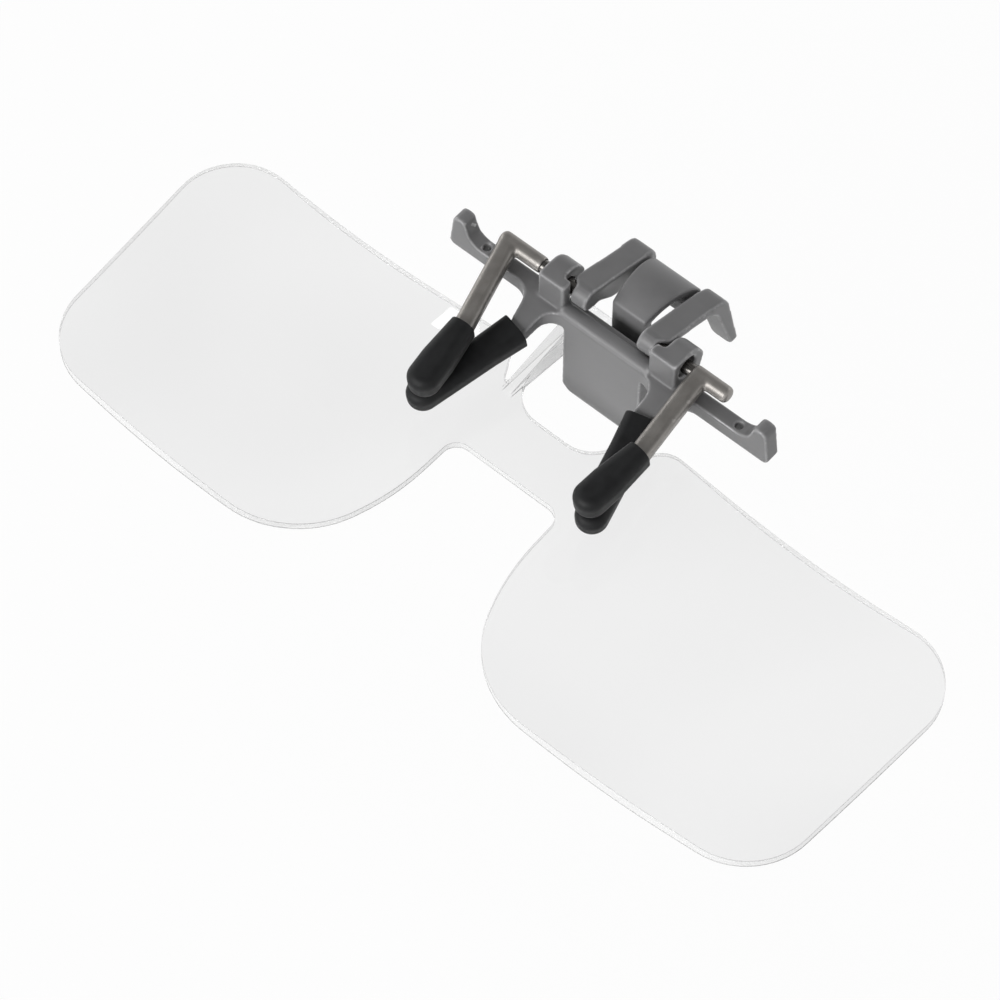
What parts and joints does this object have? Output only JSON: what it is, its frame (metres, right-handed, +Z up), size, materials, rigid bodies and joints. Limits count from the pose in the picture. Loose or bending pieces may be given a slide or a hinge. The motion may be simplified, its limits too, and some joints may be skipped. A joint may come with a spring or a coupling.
{
  "type": "clip-on spectacle magnifier",
  "caption": "Clear magnifier lenses moulded as one wide pair, flipping on a sprung clip whose rubber-sleeved fingers grip a spectacle bridge.",
  "frame": {"origin": "under the middle of the bounding box, on the table that the loupe lies on", "axes": "+X along the lens pair, +Y towards the wearer's brow, +Z up from the table, towards the wearer's side of the lenses"},
  "size_m": [0.1344, 0.0674, 0.0228],
  "materials": {
    "clear_acrylic": "clear polished acrylic",
    "grey_plastic": "mid-grey satin moulding",
    "satin_metal": "warm grey satin metal",
    "black_rubber": "near-black matte rubber",
    "pin_steel": "drawn steel pin"
  },
  "bodies": {
    "clip": {"clip_frame": "grey_plastic", "arch_spring": "grey_plastic", "right_rear_sleeve": "black_rubber", "left_rear_sleeve": "black_rubber"},
    "lever": {"clamp_lever": "grey_plastic", "right_axle_pin": "pin_steel", "left_axle_pin": "pin_steel", "right_clamp_arm": "satin_metal", "left_clamp_arm": "satin_metal", "right_front_sleeve": "black_rubber", "left_front_sleeve": "black_rubber"},
    "lenses": {"lens_pair": "clear_acrylic", "lens_hinge_pin": "pin_steel"}
  },
  "joints": [
    {"name": "clamp_open", "type": "hinge", "parent": "clip", "child": "lever", "pos_m": [0, 0.01586, 0.02016], "axis": [-1, 0, 0], "range_deg": [0, 15], "stiffness_Nm_per_rad": 0.02, "springref_deg": -5.73, "deforming": ["arch_spring"]},
    {"name": "lens_flip", "type": "hinge", "parent": "clip", "child": "lenses", "pos_m": [0, 0.01997, 0.00754], "axis": [1, 0, 0], "range_deg": [0, 90]}
  ]
}
